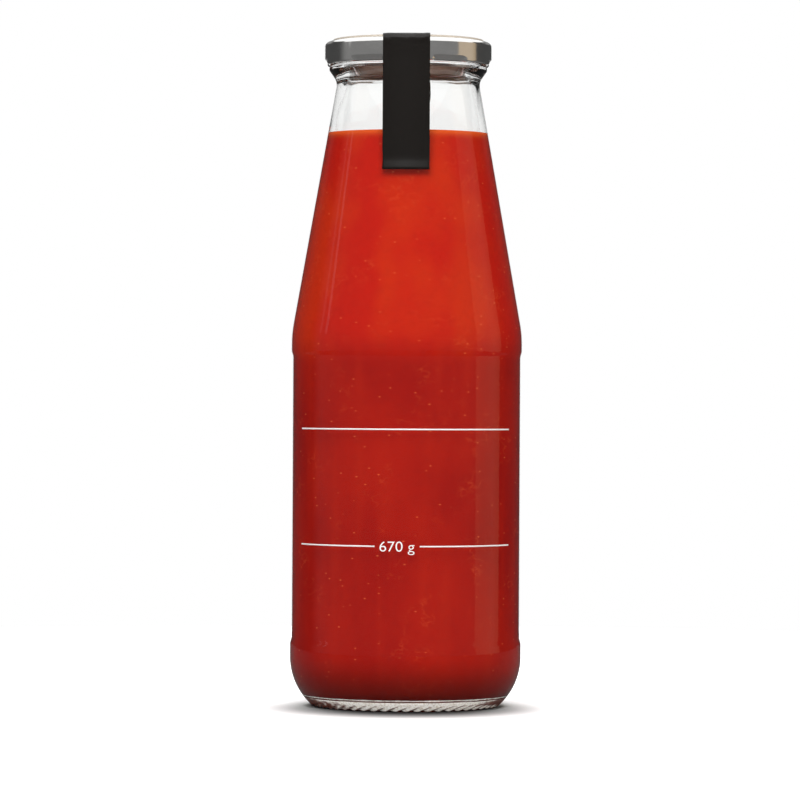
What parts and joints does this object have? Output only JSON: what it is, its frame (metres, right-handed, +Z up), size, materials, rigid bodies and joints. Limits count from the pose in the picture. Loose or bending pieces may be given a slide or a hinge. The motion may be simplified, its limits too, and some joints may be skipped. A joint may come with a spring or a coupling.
{
  "type": "passata bottle",
  "caption": "Clear glass bottle of smooth red tomato passata with a conical shoulder, a silver twist-off lid, a black paper seal over the lid and white print rules.",
  "frame": {"origin": "centre of the bearing ring, on the plane that the bottle stands on", "axes": "+Z up along the bottle's axis; the printed front and the seal's front end face -Y; +X to the right of the front"},
  "size_m": [0.0774, 0.0774, 0.2236],
  "materials": {
    "clear_glass": "clear polished flint glass",
    "passata": "wet smooth tomato purée, satin",
    "lid_steel": "satin silver lacquered tinplate",
    "sealing_compound": "soft flowed-in compound",
    "seal_paper": "black coated paper, slight sheen",
    "white_print": "opaque white screen-printed ink"
  },
  "bodies": {
    "root": {"glass_bottle": "clear_glass", "passata": "passata", "lid": "lid_steel", "lid_seal": "sealing_compound", "seal_strip": "seal_paper"}
  },
  "joints": []
}
